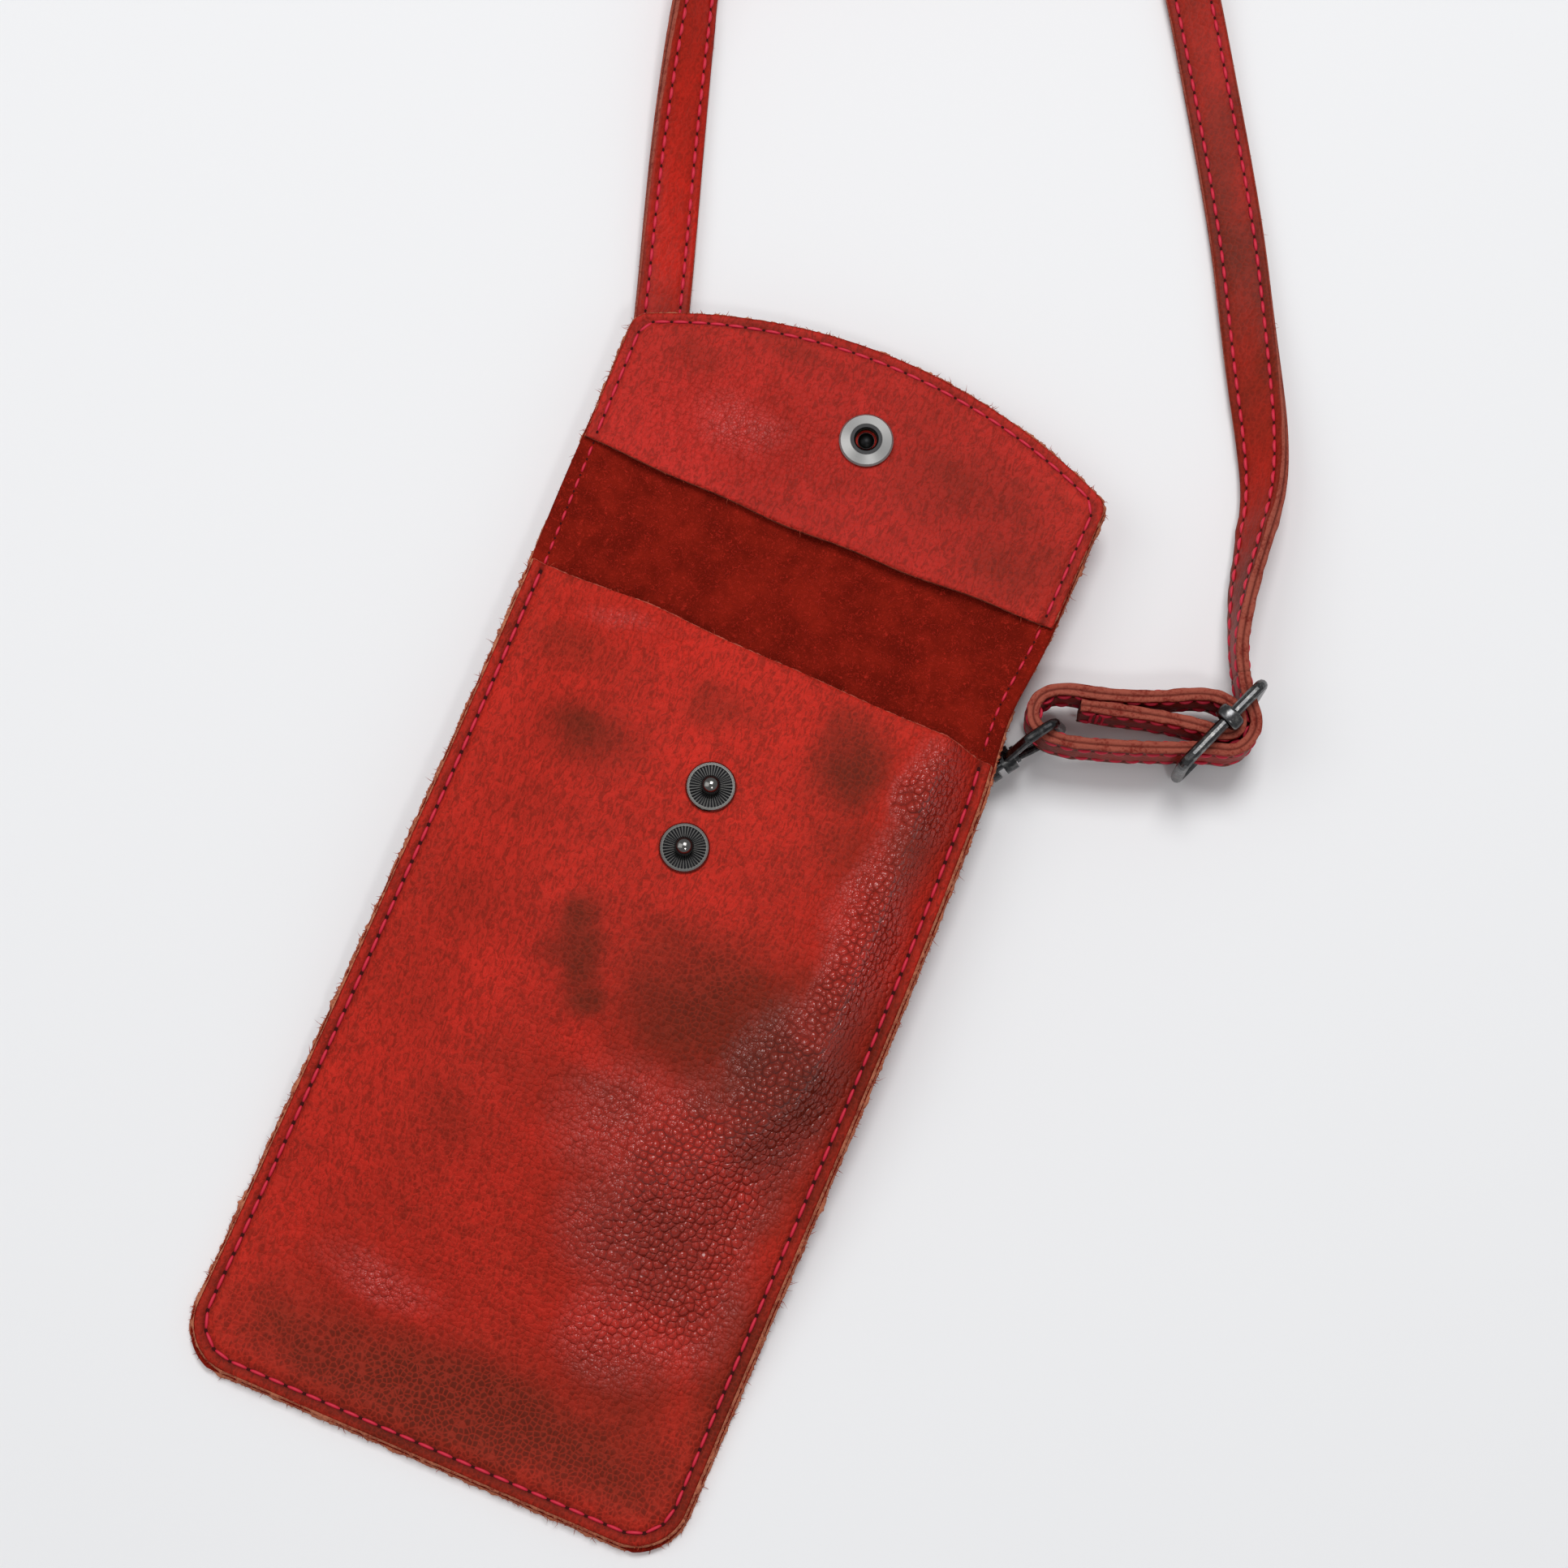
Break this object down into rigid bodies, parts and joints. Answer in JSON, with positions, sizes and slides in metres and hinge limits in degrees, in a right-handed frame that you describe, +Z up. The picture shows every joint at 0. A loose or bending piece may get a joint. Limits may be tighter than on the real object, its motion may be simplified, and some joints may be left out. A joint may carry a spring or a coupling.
{
  "type": "phone pouch",
  "caption": "Red leather phone pouch lying open, with snap flap, swivel hook, slider and a coiled leather shoulder strap",
  "frame": {"origin": "centre of the pouch's own outline (without the strap and its fittings), on the table it lies on", "axes": "+X across the pouch to the hook's side, +Y from the pouch's bottom edge to the open flap, +Z up from the table"},
  "size_m": [0.2049, 0.4906, 0.0283],
  "materials": {
    "red_leather": "pebbled grain outside, suede inside",
    "facing_leather": "pebbled grain",
    "strap_leather": "grain faces, raw edges",
    "tie_leather": "matt",
    "gunmetal": "satin gunmetal plating",
    "nickel": "satin nickel plating",
    "spring_brass": "plain",
    "black_nickel": "black plating, semi-gloss",
    "steel": "plain"
  },
  "bodies": {
    "pouch": {"back_panel": "red_leather", "front_panel": "red_leather", "upper_stud": "gunmetal", "lower_stud": "gunmetal", "upper_stud_back": "nickel", "lower_stud_back": "nickel", "ring_tab": "red_leather", "d_ring": "black_nickel", "strap_left": "strap_leather", "strap_coil": "strap_leather", "strap_right": "strap_leather", "strap_tie": "tie_leather"},
    "flap_fold": {"fold_strip": "red_leather"},
    "flap": {"flap": "red_leather", "flap_facing": "facing_leather", "snap_socket": "nickel", "socket_spring": "spring_brass", "snap_cap": "gunmetal"},
    "strap_end": {"strap_loop": "strap_leather", "slider_frame": "gunmetal", "slider_bar": "gunmetal", "swivel_eye": "black_nickel"},
    "hook": {"hook_body": "black_nickel", "gate_pin": "steel", "gate_spring": "steel"},
    "gate": {"hook_gate": "black_nickel"}
  },
  "joints": [
    {"name": "fold_bend", "type": "hinge", "parent": "pouch", "child": "flap_fold", "pos_m": [0, 0.0617, 0.0133], "axis": [1, 0, 0], "range_deg": [0, 90]},
    {"name": "flap_bend", "type": "hinge", "parent": "flap_fold", "child": "flap", "pos_m": [0, 0.0787, 0.0133], "axis": [1, 0, 0], "range_deg": [0, 90]},
    {"name": "hook_swing", "type": "hinge", "parent": "pouch", "child": "strap_end", "pos_m": [0.05089, 0.04429, 0.00493], "axis": [0, 0, 1], "range_deg": [-28, 2], "deforming": ["strap_right"]},
    {"name": "hook_swivel", "type": "hinge", "parent": "strap_end", "child": "hook", "pos_m": [0.0607, 0.0582, 0.00855], "axis": [0.5638, 0.7993, 0.2079], "range_deg": [-20, 20]},
    {"name": "gate_open", "type": "hinge", "parent": "hook", "child": "gate", "pos_m": [0.05733, 0.05343, 0.00956], "axis": [0.8171, -0.5764, 0], "range_deg": [0, 18], "stiffness_Nm_per_rad": 0.002, "springref_deg": -11.46}
  ],
  "couplings": [
    {"joint": "flap_bend", "follows": "fold_bend", "ratio": 1}
  ]
}
